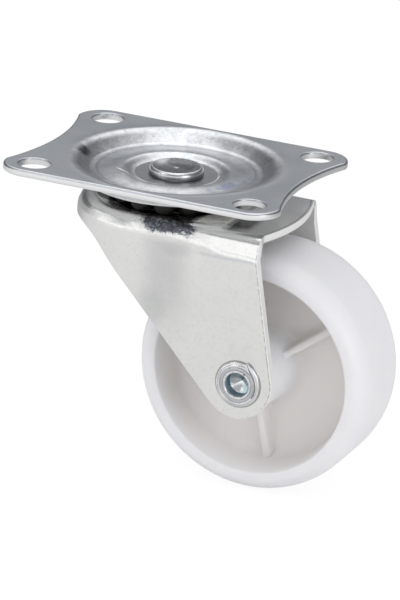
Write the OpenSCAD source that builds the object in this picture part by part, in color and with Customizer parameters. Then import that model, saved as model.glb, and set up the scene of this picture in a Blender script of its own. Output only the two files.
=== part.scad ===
// Swivel castor with a pressed top plate, a pressed fork and a plastic wheel.
// Origin: centre of the flat top face of the plate. +Z up, +X towards the wheel.

/* [Top plate] */
// Length of the top plate, along X
plate_l = 60; // [59:1:90]
// Width of the top plate, along Y
plate_w = 46; // [45:1:52]
// Thickness of the top plate sheet
plate_t = 1.4; // [1:0.1:1.8]
// Radius of the four corners
corner_r = 6; // [3:0.5:8]
// Depth of the hollow curve in each short side
waist_depth = 2.9; // [1:0.1:4]
// Distance from a fixing hole's centre to the plate's short side
hole_edge_x = 6.5; // [5.5:0.5:7]
// Distance from a fixing hole's centre to the plate's long side
hole_edge_y = 5.5; // [5:0.5:6]
// Diameter of the fixing holes
hole_d = 6.5; // [4:0.5:7]

/* [Pressed dish] */
// Flat left between the dish's rolled edge and the plate's long side
dish_margin = 1; // [1:0.5:2]
// Radial width of the rolled edge and the sloping wall
dish_slope = 4.8; // [4:0.1:5]
// Depth of the groove at the foot of the wall
groove_depth = 2.3; // [2:0.1:2.8]
// Depth of the crest of the raised ball bead
bead_depth = 1.9; // [1.7:0.1:2.2]
// Radius of the flat centre disc
disc_r = 8.5; // [7.5:0.1:8.6]
// Depth of the flat centre disc
disc_depth = 2.8; // [2.3:0.1:3.4]

/* [Ball races] */
// Radius of the upper ring of balls
race_r = 11.2; // [10.8:0.1:11.4]
// Diameter of the upper balls
ball_d = 4.76; // [4.4:0.02:4.84]
// Number of upper balls
ball_count = 14; // [6:1:14]
// Depth of the upper race pressed in the crown
race_depth = 0.66; // [0.4:0.02:0.8]
// Radius of the lower ring of balls
low_race_r = 8.1; // [7.9:0.1:8.3]
// Diameter of the lower balls
low_ball_d = 3.97; // [3.5:0.01:4]
// Number of lower balls
low_ball_count = 12; // [6:1:12]
// Depth of the lower races
low_race_depth = 0.5; // [0.3:0.05:0.6]
// Play between a ball and its race
ball_play = 0.1; // [0.05:0.01:0.15]

/* [Kingpin] */
// Diameter of the kingpin's head
pin_head_d = 11.2; // [10:0.2:14]
// Height of the head above the centre disc
pin_head_h = 1.3; // [0.8:0.1:1.8]
// Diameter of the shank through the plate and the cup
pin_d = 7.6; // [6:0.2:8.4]
// Diameter of the shoulder between the plate and the cup
pin_shoulder_d = 9.8; // [9:0.1:10]
// Diameter of the clinched foot below the cup
pin_foot_d = 11; // [10:0.5:13]
// Height of the clinched foot
pin_foot_h = 1.4; // [1:0.1:2]

/* [Lower cup] */
// Thickness of the cup's sheet
cup_t = 1.2; // [1:0.1:1.5]
// Play between the balls and the cup's rim
cup_play = 0.25; // [0.15:0.05:0.4]
// Gap between the cup's rim and the crown
cup_gap = 0.8; // [0.5:0.1:1.2]

/* [Fork] */
// Outside width of the fork over its two legs
fork_w = 31.3; // [30.6:0.1:34]
// Thickness of the fork sheet
fork_t = 1.6; // [1.4:0.1:2]
// Inside radius of the bend between the crown and the shoulder
bend_in_r = 0.5; // [0.3:0.1:1.2]
// How far the shoulder leans in from its foot to the crown
shoulder_lean = 0.6; // [0.2:0.1:1]
// Height of the leaning shoulder, from its foot to the crown's top
shoulder_h = 4.4; // [3.6:0.2:6]
// Distance from the swivel axis to the centre of the fork's round front
front_x = 4.4; // [3:0.2:7]
// Distance from the swivel axis to the middle of the crown's rear edge
crown_rear = 27.4; // [26.5:0.1:28.4]
// Distance from the swivel axis to the rear edge at the shoulders
shoulder_rear = 25.1; // [24:0.1:26]
// Depth of the skirt round the front, below the crown's top
skirt_h = 4.5; // [3:0.1:7]
// Distance ahead of the swivel axis where the skirt meets the leg's edge
skirt_x = 12.9; // [10:0.1:14]
// Radius of the curve between the skirt and the leg's front edge
skirt_curve = 12; // [4:0.5:14]
// Radius of the round end of each leg
leg_end_r = 7.6; // [7:0.1:9]
// How far the round end's centre lies ahead of and above the axle
leg_end_shift = 0.4; // [0:0.1:1]
// Play round the kingpin in the crown's hole
crown_play = 0.5; // [0.3:0.1:0.7]

/* [Wheel] */
// Diameter of the wheel
wheel_d = 50; // [46:1:60]
// Width of the wheel over its tread
wheel_w = 20.6; // [18:0.2:22]
// Distance from the swivel axis back to the axle
trail = 22.6; // [21:0.2:25]
// Gap between the crown and the top of the wheel
wheel_gap = 4.5; // [4.2:0.1:8]
// Radial drop of the tread's rounded edge
tread_drop = 2.8; // [1:0.1:3.6]
// Width of the tread's rounded edge
tread_edge = 4.5; // [2:0.1:6]
// Radial thickness of the rim at its side face
rim_t = 4.2; // [3.8:0.1:5]
// Thickness of the web
web_t = 3; // [2:0.1:5]
// Diameter of the hub at its ends
hub_d = 13.2; // [11:0.2:15]
// Widening of the hub's diameter down to the web
hub_taper = 1.6; // [0:0.2:2]
// Gap between each end of the hub and the leg
hub_gap = 0.35; // [0.2:0.05:0.6]
// Number of ribs on each side
rib_count = 3; // [3:1:6]
// Thickness of each rib
rib_t = 1.3; // [1:0.1:2]
// Depth of the ribs' edges below the rim's side face
rib_inset = 3.8; // [2:0.1:6]
// Angle of the first rib above the X axis
rib_angle = 35.5; // [0:0.5:120]
// Radius of the fillets at the web
web_fillet = 2; // [0.5:0.1:2.5]

/* [Axle] */
// Diameter of the axle
axle_d = 6; // [5:0.2:7]
// Running play round the axle in the hub
axle_play = 0.06; // [0.02:0.01:0.1]
// Diameter of the axle's head on the far side
axle_head_d = 10.4; // [9:0.2:13]
// Height of the axle's head
axle_head_h = 1.7; // [1:0.1:2.5]
// Outside diameter of the clinched ring
clinch_d = 9.4; // [8.6:0.2:12]
// Height of the clinched ring
clinch_h = 1.1; // [0.8:0.1:1.5]
// Diameter of the blind hole in the clinched end
clinch_hole_d = 5; // [3:0.2:5.2]
// Depth of the blind hole, measured from the ring's face
clinch_hole_h = 4.5; // [2:0.1:8]

/* [Hidden] */
$fn = 96;
over = 1;

// Places of the fixing holes, and the dish's size
hole_l = plate_l - 2 * hole_edge_x;
hole_w = plate_w - 2 * hole_edge_y;
dish_r = plate_w / 2 - dish_margin;

// Dish and upper race heights
wall_foot = dish_r - dish_slope;
foot_in = wall_foot - 1;
ball_r = ball_d / 2;
race_cut = ball_r + ball_play;
ball_z = -bead_depth - plate_t - race_cut;
crown_top = ball_z - race_cut + race_depth;
crown_bot = crown_top - fork_t;

// Lower race heights
low_ball_r = low_ball_d / 2;
low_cut = low_ball_r + ball_play;
low_ball_z = crown_bot + low_race_depth - low_cut;
cup_floor = low_ball_z - low_cut + low_race_depth;
cup_bot = cup_floor - cup_t;
cup_in_r = low_race_r + low_ball_r + cup_play;
cup_out_r = cup_in_r + cup_t;
cup_top = crown_bot - cup_gap;

// Fork and wheel places
fork_y = fork_w / 2;
fork_in = fork_y - fork_t;
bend_r = bend_in_r + fork_t;
bend_steps = 8;
dish_roll_r = 4;
shoulder_foot = crown_top - shoulder_h;
wheel_r = wheel_d / 2;
axle_x = trail;
axle_z = crown_bot - wheel_gap - wheel_r;
hub_y = fork_in - hub_gap;
rim_in = wheel_r - rim_t;
skirt_z = crown_top - skirt_h;
leg_end = [axle_x - leg_end_shift, axle_z + leg_end_shift / 2];
skirt_corner = [-skirt_x, skirt_z];
rear_edge_h = 5;
rear_corner = [shoulder_rear, crown_top - rear_edge_h];

// Direction from point p along the tangent to the circle (c, r), on side s
function tangent_dir(p, c, r, s) =
    atan2(c[1] - p[1], c[0] - p[0]) + s * asin(r / norm(c - p));
function tangent_point(p, c, r, s) =
    let (a = tangent_dir(p, c, r, s), d = sqrt(pow(norm(c - p), 2) - r * r))
    p + d * [cos(a), sin(a)];
function arc(c, r, a0, a1, n) =
    [for (i = [0:n]) c + r * [cos(a0 + (a1 - a0) * i / n), sin(a0 + (a1 - a0) * i / n)]];
// Curve from the level skirt edge into the leg's sloping front edge
function skirt_arc() =
    let (
        a = -tangent_dir(skirt_corner, leg_end, leg_end_r, -1),
        c = skirt_corner + [-skirt_curve * tan(a / 2), -skirt_curve]
    )
    arc(c, skirt_curve, 90, 90 - a, 16);

// Plan of the plate: round corners, straight long sides, hollow short sides
module plate_plan() {
    cx = plate_l / 2 - corner_r;
    cy = plate_w / 2 - corner_r;
    waist_r = (cy * cy + waist_depth * waist_depth) / (2 * waist_depth);
    difference() {
        union() {
            square([2 * cx, plate_w], center = true);
            square([plate_l, 2 * cy], center = true);
            for (x = [-cx, cx], y = [-cy, cy])
                translate([x, y]) circle(r = corner_r);
        }
        for (s = [-1, 1])
            translate([s * (plate_l / 2 - waist_depth + waist_r), 0])
                circle(r = waist_r, $fn = 240);
    }
}

// Top surface of the dish, from the centre disc out to the flat
function bead_top(r) =
    r < race_r
        ? -bead_depth - (disc_depth - bead_depth) * pow(sin(90 * (race_r - r) / (race_r - disc_r)), 2)
        : -bead_depth - (groove_depth - bead_depth) * pow(sin(90 * (r - race_r) / (foot_in - race_r)), 2);
function dish_top() = concat(
    [for (i = [0:5]) let (r = disc_r + (race_r - disc_r) * i / 5) [r, bead_top(r)]],
    [for (i = [1:6]) let (r = race_r + (foot_in - race_r) * i / 6) [r, bead_top(r)]],
    [[wall_foot, -groove_depth]],
    [[wall_foot + 0.5, -groove_depth + 0.25]],
    [for (i = [0:5]) let (a = 40 - 8 * i) [
        dish_r - dish_roll_r * sin(a),
        -dish_roll_r * (1 - cos(a))
    ]]
);
// Underside of the dish, from the flat back to the centre
under_foot = groove_depth + plate_t;
function dish_under() = [
    [dish_r + 0.4, -plate_t],
    [dish_r - 0.9, -plate_t - 0.2],
    [dish_r - 1.6, -plate_t - 0.7],
    [dish_r - 2, -under_foot + 0.8],
    [dish_r - 2.6, -under_foot + 0.2],
    [dish_r - 3.4, -under_foot],
    [race_r + race_cut * sin(50), -under_foot],
    [race_r - race_cut * sin(50), -disc_depth - plate_t],
    [0, -disc_depth - plate_t]
];

module ring_cut(r, z, c) {
    translate([0, 0, z]) rotate_extrude() translate([r, 0]) circle(r = c, $fn = 48);
}

module top_plate() {
    color([0.66, 0.69, 0.73])
    difference() {
        union() {
            difference() {
                translate([0, 0, -plate_t]) linear_extrude(height = plate_t) plate_plan();
                translate([0, 0, -plate_t - over]) cylinder(r = dish_r, h = plate_t + 2 * over);
            }
            rotate_extrude() polygon(concat([[0, -disc_depth]], dish_top(), [[dish_r + 0.4, 0]], dish_under()));
        }
        ring_cut(race_r, ball_z, race_cut);
        translate([0, 0, -disc_depth - plate_t - over]) cylinder(d = pin_d, h = plate_t + 2 * over);
        for (x = [-hole_l / 2, hole_l / 2], y = [-hole_w / 2, hole_w / 2])
            translate([x, y, -plate_t - over]) cylinder(d = hole_d, h = plate_t + 2 * over);
    }
}

// Kingpin: head above, shoulder between plate and cup, clinched foot below
module kingpin() {
    head_top = -disc_depth + pin_head_h;
    head_r = pin_head_d / 2;
    foot_r = pin_foot_d / 2;
    round_r = min(0.9, pin_head_h - 0.2);
    color([0.72, 0.74, 0.76])
    rotate_extrude() polygon(concat(
        [[0, head_top - 0.75], [0.5, head_top - 0.5], [head_r - 2.2, head_top - 0.4], [head_r - 1.5, head_top]],
        arc([head_r - round_r, head_top - round_r], round_r, 90, 0, 6),
        [
            [head_r, -disc_depth],
            [pin_d / 2, -disc_depth],
            [pin_d / 2, -disc_depth - plate_t],
            [pin_shoulder_d / 2, -disc_depth - plate_t],
            [pin_shoulder_d / 2, cup_floor],
            [pin_d / 2, cup_floor],
            [pin_d / 2, cup_bot],
            [foot_r, cup_bot],
            [foot_r, cup_bot - pin_foot_h * 0.4],
            [foot_r - 0.8, cup_bot - pin_foot_h],
            [0, cup_bot - pin_foot_h]
        ]
    ));
}

// Lower cup: a turned-up sheet dish that carries the lower balls
module lower_cup() {
    color([0.62, 0.64, 0.67])
    difference() {
        union() {
            translate([0, 0, cup_bot]) cylinder(r = cup_out_r - 1, h = cup_t);
            translate([0, 0, cup_bot + 1]) cylinder(r = cup_out_r, h = cup_top - cup_bot - 1);
            translate([0, 0, cup_bot + 1]) rotate_extrude()
                translate([cup_out_r - 1, 0]) circle(r = 1, $fn = 32);
        }
        translate([0, 0, cup_floor]) cylinder(r = cup_in_r, h = cup_top - cup_floor + over);
        translate([0, 0, cup_bot - over]) cylinder(d = pin_d, h = cup_t + 2 * over);
        ring_cut(low_race_r, low_ball_z, low_cut);
    }
}

// Half of the fork's section: crown, bend, leaning shoulder and upright wall
module half_round(w, top, r) {
    foot = [w, shoulder_foot];
    c = [w - shoulder_lean - r, top - r];
    low = axle_z - wheel_r;
    turn = tangent_point(foot, c, r, -1) - c;
    polygon(concat(
        [[0, low], [w, low], foot],
        arc(c, r, atan2(turn[1], turn[0]), 90, bend_steps),
        [[0, top]]
    ));
}
module half_section() {
    difference() {
        half_round(fork_y, crown_top, bend_r);
        half_round(fork_in, crown_bot, bend_in_r);
    }
}

module full_section() {
    union() {
        half_section();
        mirror([1, 0, 0]) half_section();
    }
}

// Side outline of a leg and of the front skirt
module leg_outline() {
    front = tangent_point(skirt_corner, leg_end, leg_end_r, -1);
    rear = tangent_point(rear_corner, leg_end, leg_end_r, 1);
    union() {
        translate(leg_end) circle(r = leg_end_r);
        polygon(concat(
            [[-front_x - fork_y - over, skirt_z]],
            skirt_arc(),
            [front, leg_end, rear, rear_corner, [shoulder_rear, 0]],
            [[-front_x - fork_y - over, 0]]
        ));
    }
}

// Bulge of the crown's rear edge, level with the crown
module crown_tail() {
    tail_y = fork_y - shoulder_lean - bend_r;
    tail = crown_rear - shoulder_rear;
    tail_r = (tail_y * tail_y + tail * tail) / (2 * tail);
    translate([0, 0, crown_bot]) linear_extrude(height = fork_t) intersection() {
        translate([crown_rear - tail_r, 0]) circle(r = tail_r, $fn = 200);
        translate([shoulder_rear, -fork_y]) square([tail + over, fork_w]);
    }
}

module fork() {
    color([0.80, 0.80, 0.78])
    difference() {
        union() {
            intersection() {
                union() {
                    intersection() {
                        translate([-front_x, 0, 0]) rotate_extrude() half_section();
                        translate([-front_x - fork_y - over, -fork_y - over, axle_z - wheel_r - over])
                            cube([fork_y + over, fork_w + 2 * over, wheel_r - axle_z + 2 * over]);
                    }
                    translate([-front_x, 0, 0]) rotate([90, 0, 90])
                        linear_extrude(height = axle_x + leg_end_r + front_x + over) full_section();
                }
                rotate([90, 0, 0]) linear_extrude(height = fork_w + 2, center = true) leg_outline();
            }
            crown_tail();
        }
        translate([0, 0, crown_bot - over])
            cylinder(r = pin_shoulder_d / 2 + crown_play, h = fork_t + 2 * over);
        ring_cut(race_r, ball_z, race_cut);
        ring_cut(low_race_r, low_ball_z, low_cut);
        translate([axle_x, 0, axle_z]) rotate([90, 0, 0]) cylinder(d = axle_d, h = fork_w + 2, center = true);
    }
}

// Axle: a semi-tubular rivet, headed on the far side and clinched on the near one
module axle() {
    end = -fork_y - clinch_h;
    hr = clinch_hole_d / 2;
    cr = clinch_d / 2;
    hd = axle_head_d / 2;
    color([0.78, 0.80, 0.82])
    translate([axle_x, 0, axle_z]) rotate([-90, 0, 0]) rotate_extrude() polygon(concat(
        [
            [0, end + clinch_hole_h + hr * 0.5],
            [hr, end + clinch_hole_h],
            [hr, end + 0.35],
            [hr + 0.35, end],
            [cr - 0.8, end],
            [cr - 0.15, end + 0.45],
            [cr, end + clinch_h * 0.7],
            [cr - 0.2, -fork_y],
            [axle_d / 2, -fork_y],
            [axle_d / 2, fork_y],
            [hd, fork_y],
            [hd, fork_y + axle_head_h * 0.35]
        ],
        [for (i = [1:5]) [
            hd * cos(18 * i),
            fork_y + axle_head_h * (0.35 + 0.65 * sin(18 * i))
        ]]
    ));
}

// Half section of the wheel: rim, web and hub, with y from the middle plane
module wheel_half() {
    side = wheel_w / 2;
    base = rim_in - 0.8;
    hub_base = (hub_d + hub_taper) / 2;
    f = web_fillet;
    difference() {
        polygon(concat(
            [[0, 0], [wheel_r, 0]],
            [for (i = [0:8]) [
                wheel_r - tread_drop * (1 - cos(11.25 * i)),
                side - tread_edge * (1 - sin(11.25 * i))
            ]],
            [
                [rim_in, side],
                [base, web_t / 2 + f]
            ],
            arc([base - f, web_t / 2 + f], f, 0, -90, 6),
            arc([hub_base + f, web_t / 2 + f], f, -90, -180, 6),
            [
                [hub_d / 2, hub_y],
                [0, hub_y]
            ]
        ));
        translate([-over, -over]) square([over + axle_d / 2 + axle_play, hub_y + 2 * over]);
    }
}

module wheel() {
    rib_y = wheel_w / 2 - rib_inset;
    rib_in = hub_d / 2 - 1;
    color([0.93, 0.93, 0.95])
    translate([axle_x, 0, axle_z]) rotate([90, 0, 0])
    union() {
        for (s = [0, 1]) mirror([0, 0, s])
            rotate_extrude($fn = 128) wheel_half();
        for (i = [0:rib_count - 1])
            rotate([0, 0, rib_angle + 360 * i / rib_count])
                translate([rib_in, -rib_t / 2, -rib_y])
                    cube([rim_in + 0.5 - rib_in, rib_t, 2 * rib_y]);
    }
}

module upper_ball(i) {
    color([0.75, 0.76, 0.78])
    rotate([0, 0, 360 * (i - 1) / ball_count]) translate([race_r, 0, ball_z]) sphere(r = ball_r, $fn = 32);
}

module lower_ball(i) {
    color([0.75, 0.76, 0.78])
    rotate([0, 0, 360 * (i - 1) / low_ball_count])
        translate([low_race_r, 0, low_ball_z]) sphere(r = low_ball_r, $fn = 32);
}

top_plate();
kingpin();
lower_cup();
fork();
axle();
wheel();
for (i = [1:ball_count])
    upper_ball(i);
for (i = [1:low_ball_count])
    lower_ball(i);
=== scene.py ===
import math
import bpy
import bmesh
from mathutils import Matrix, Vector


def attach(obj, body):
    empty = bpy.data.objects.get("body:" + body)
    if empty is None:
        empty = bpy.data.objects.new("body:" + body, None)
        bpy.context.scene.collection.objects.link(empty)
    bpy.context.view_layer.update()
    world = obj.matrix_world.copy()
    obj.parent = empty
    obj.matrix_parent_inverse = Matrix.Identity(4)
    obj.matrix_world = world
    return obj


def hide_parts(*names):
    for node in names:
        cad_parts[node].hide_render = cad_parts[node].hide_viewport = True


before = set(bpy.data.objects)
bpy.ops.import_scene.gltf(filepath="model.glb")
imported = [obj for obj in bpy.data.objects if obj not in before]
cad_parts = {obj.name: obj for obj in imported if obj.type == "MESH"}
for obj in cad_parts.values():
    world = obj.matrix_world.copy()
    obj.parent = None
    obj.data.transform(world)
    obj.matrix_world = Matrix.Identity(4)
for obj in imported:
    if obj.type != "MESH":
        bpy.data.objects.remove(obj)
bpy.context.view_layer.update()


# ---------------------------------------------------------------- top plate
# The plate is one blank of zinc-plated steel sheet. A press rounds its top edges,
# sinks the round dish with the ball bead in it, and pierces the four screw holes.

def add_node(tree, kind, settings, sockets):
    """Adds a node: first its settings, then the values or links of its sockets."""
    made = tree.nodes.new(kind)
    for key, wanted in (settings or {}).items():
        setattr(made, key, wanted)
    for key, wanted in (sockets or {}).items():
        source = wanted.socket if isinstance(wanted, Value) else wanted
        if isinstance(source, bpy.types.NodeSocket):
            tree.links.new(source, made.inputs[key])
        else:
            made.inputs[key].default_value = source
    return made


class Value:
    """One output of a node. Sums with it add Math nodes to its finish."""

    def __init__(self, finish, socket):
        self.finish, self.socket = finish, socket

    def math(self, operation, a, b=0.0, clamp=False):
        settings = {"operation": operation, "use_clamp": clamp}
        return self.finish.node("ShaderNodeMath", settings, {0: a, 1: b})

    def __add__(self, other):
        return self.math("ADD", self, other)

    __radd__ = __add__

    def __sub__(self, other):
        return self.math("SUBTRACT", self, other)

    def __rsub__(self, other):
        return self.math("SUBTRACT", other, self)

    def __mul__(self, other):
        return self.math("MULTIPLY", self, other)

    __rmul__ = __mul__

    def __pow__(self, other):
        return self.math("POWER", self, other)

    def clamp(self):
        return self.math("ADD", self, 0.0, clamp=True)

    def least(self, other):
        return self.math("MINIMUM", self, other)

    def unsigned(self):
        return self.math("ABSOLUTE", self)

    def step(self, start, end):
        """0 below start, 1 above end, smooth between them."""
        return self.finish.node(
            "ShaderNodeMapRange", {"interpolation_type": "SMOOTHSTEP"},
            {"Value": self, "From Min": start, "From Max": end},
        )

    def band(self, low, high, soft):
        """1 between low and high, with soft edges."""
        return self.step(low - soft, low + soft) * (1 - self.step(high - soft, high + soft))


class Finish:
    """A surface finish: a material or the world, its nodes, and the point that they read."""

    def __init__(self, name, owner=None):
        self.owner = owner or bpy.data.materials.new(name)
        self.owner.use_nodes = True
        self.tree = self.owner.node_tree
        self.tree.nodes.clear()
        self.point = self.node("ShaderNodeTexCoord", out="Object")

    def node(self, kind, settings=None, sockets=None, out=0):
        made = add_node(self.tree, kind, settings, sockets)
        return Value(self, made.outputs[out]) if made.outputs else None

    def outputs(self, value, *names):
        """Other outputs of the node that a value comes from. All of them without names."""
        found = value.socket.node.outputs
        return [Value(self, found[name]) for name in names or range(len(found))]

    def grain(self, scale, detail, rough):
        """Noise from 0 to 1 in the piece's own space, with scale in lumps per metre."""
        return self.node(
            "ShaderNodeTexNoise", None,
            {"Vector": self.point, "Scale": scale, "Detail": detail, "Roughness": rough},
        )

    def axes(self, centre=(0, 0, 0)):
        """The three coordinates of the point, in metres from centre."""
        moved = self.node(
            "ShaderNodeVectorMath", {"operation": "SUBTRACT"}, {0: self.point, 1: centre}
        )
        return self.outputs(self.node("ShaderNodeSeparateXYZ", None, {"Vector": moved}))

    def mix(self, amount, a, b):
        """Colour a at amount 0 and colour b at amount 1."""
        a, b = (tint if isinstance(tint, Value) else (*tint, 1) for tint in (a, b))
        return self.node(
            "ShaderNodeMix", {"data_type": "RGBA", "clamp_factor": True},
            {0: amount, 6: a, 7: b}, out=2,
        )

    def coats(self, colour, *coats):
        """Lays coats over a colour in their order. Each is an amount and a colour."""
        for amount, tint in coats:
            colour = self.mix(amount, colour, tint)
        return colour

    def bump(self, height, depth, strength):
        sockets = {"Height": height, "Distance": depth, "Strength": strength}
        return self.node("ShaderNodeBump", None, sockets)

    def shade(self, **sockets):
        """Ends the finish in a Principled shader. Names use _ for a space."""
        named = {key.replace("_", " "): wanted for key, wanted in sockets.items()}
        shader = self.node("ShaderNodeBsdfPrincipled", None, named)
        self.node("ShaderNodeOutputMaterial", None, {"Surface": shader})
        return self.owner


def span(a, b):
    """Distance from the line on which the values a and b are both 0."""
    return (a * a + b * b) ** 0.5


MM = 0.001
PLATE_L, PLATE_W, PLATE_T = 60.0, 46.0, 1.4
CORNER_R, WAIST = 6.0, 2.9
HOLE_L, HOLE_W, HOLE_R = 47.0, 35.0, 3.25
DISH_R, DISC_TOP, DISC_UNDER = 22.0, -2.8, -4.2
RACE_R, RACE_Z, RACE_CUT = 11.2, -5.78, 2.48
BEAD_IN, BEAD_OUT = 8.5, 16.2
PIN_R = 3.8


def arc(cx, cy, radius, start, end, steps):
    """Points of an arc, with angles in degrees."""
    angles = (math.radians(start + (end - start) * i / steps) for i in range(steps + 1))
    return [(cx + radius * math.cos(a), cy + radius * math.sin(a)) for a in angles]


def plate_outline():
    """The blank's edge, anticlockwise, with the soft corners where the hollow sides end."""
    cx, cy = PLATE_L / 2 - CORNER_R, PLATE_W / 2 - CORNER_R
    waist_r = (cy * cy + WAIST * WAIST) / (2 * WAIST)
    half = math.degrees(math.asin(cy / waist_r))
    far = PLATE_L / 2 - WAIST + waist_r
    right = arc(far, 0, waist_r, 180 + half, 180 - half, 36)[1:-1]
    top = arc(cx, cy, CORNER_R, 0, 90, 18) + arc(-cx, cy, CORNER_R, 90, 180, 18)
    left = [(-x, -y) for x, y in right]
    return right + top + left + [(-x, -y) for x, y in top]


def offset(loop, distance):
    """The loop moved to its left, which is into the metal."""
    moved = []
    for i, (x, y) in enumerate(loop):
        ax, ay = loop[i - 1]
        bx, by = loop[(i + 1) % len(loop)]
        before = Vector((x - ax, y - ay)).normalized()
        after = Vector((bx - x, by - y)).normalized()
        way = (before + after).normalized()
        reach = distance / max(0.5, way.dot(after))
        moved.append((x - way.y * reach, y + way.x * reach))
    return moved


def edge_rows(roll, drop, burr):
    """(distance in, height) down a pierced edge: rolled at the top, crisp below."""
    rows = [(roll - roll * math.sin(a), -drop + drop * math.cos(a))
            for a in (math.pi / 2 * i / 5 for i in range(6))]
    rows += [(0, -PLATE_T * 0.6), (0, -PLATE_T + burr)]
    return rows + [(burr * 0.4, -PLATE_T + burr * 0.4), (burr, -PLATE_T)]


def bead_top(r):
    """Height of the dish's floor between the centre disc and the groove."""
    crest = -1.9
    foot, fall = (BEAD_IN, 0.9) if r < RACE_R else (BEAD_OUT, 0.4)
    return crest - fall * math.sin(math.pi / 2 * (RACE_R - r) / (RACE_R - foot)) ** 2


def dish_top():
    """Top of the dish from the flat inwards, as (radius, height)."""
    roll_r = 4
    roll = [(DISH_R - roll_r * math.sin(a), -roll_r * (1 - math.cos(a)))
            for a in (math.radians(40) * i / 10 for i in range(11))]
    foot = [(18.6, -1.50), (18.0, -1.88), (17.6, -2.10), (17.3, -2.24), (17.0, -2.30),
            (16.75, -2.32), (16.5, -2.34), (16.3, -2.33)]
    across = [BEAD_OUT - (BEAD_OUT - BEAD_IN) * i / 26 for i in range(27)]
    bead = [(r, bead_top(r)) for r in across]
    return roll + foot + bead + [(r, DISC_TOP) for r in (8.2, 5.0, PIN_R)]


def dish_under():
    """Underside from the pin outwards to the flat."""
    inner = [(PIN_R, DISC_UNDER), (8.9, DISC_UNDER), (9.25, DISC_UNDER + 0.02)]
    race = [(RACE_R + RACE_CUT * math.sin(a), RACE_Z + RACE_CUT * math.cos(a))
            for a in (math.radians(-48 + 83 * i / 14) for i in range(15))]
    outer = [(12.9, -3.72), (13.4, -3.7), (16.0, -3.7), (18.2, -3.7), (18.9, -3.64),
             (19.4, -3.48), (19.8, -3.2), (20.0, -2.9), (20.15, -2.5), (20.5, -2.0),
             (21.1, -1.6), (21.7, -1.44), (DISH_R + 0.4, -PLATE_T)]
    return inner + race + outer


def plate_mesh(steps=192):
    """The pressed sheet as one closed surface."""
    form = bmesh.new()

    def ring(loop, z):
        return [form.verts.new((x * MM, y * MM, z * MM)) for x, y in loop]

    def strip(a, b):
        for i in range(len(a)):
            j = (i + 1) % len(a)
            form.faces.new((a[i], a[j], b[j], b[i])).smooth = True

    def edge(loop, rows):
        rings = [ring(offset(loop, d), z) for d, z in rows]
        for upper, lower in zip(rings, rings[1:]):
            strip(upper, lower)
        return rings[0], rings[-1]

    borders = [edge(plate_outline(), edge_rows(0.6, 0.42, 0.14))]
    for x in (-HOLE_L / 2, HOLE_L / 2):
        for y in (-HOLE_W / 2, HOLE_W / 2):
            hole = arc(x, y, HOLE_R, 360, 0, 56)[:-1]
            borders.append(edge(hole, edge_rows(0.3, 0.3, 0.12)))
    profile = dish_top() + dish_under()
    rings = [ring(arc(0, 0, r, 360, 0, steps)[:-1], z) for r, z in profile]
    for outer, inner in zip(rings, rings[1:]):
        strip(outer, inner)
    borders.append((rings[0], rings[-1]))
    for side in (0, 1):
        edges = []
        for border in borders:
            loop = border[side]
            for i, corner in enumerate(loop):
                after = loop[(i + 1) % len(loop)]
                edges.append(form.edges.get((corner, after)) or form.edges.new((corner, after)))
        bmesh.ops.triangle_fill(form, use_beauty=True, edges=edges)
    for face in form.faces:
        if len(face.verts) == 3:
            face.smooth = False
    bmesh.ops.recalc_face_normals(form, faces=form.faces)
    mesh = bpy.data.meshes.new("top_plate")
    form.to_mesh(mesh)
    form.free()
    return mesh


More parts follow.
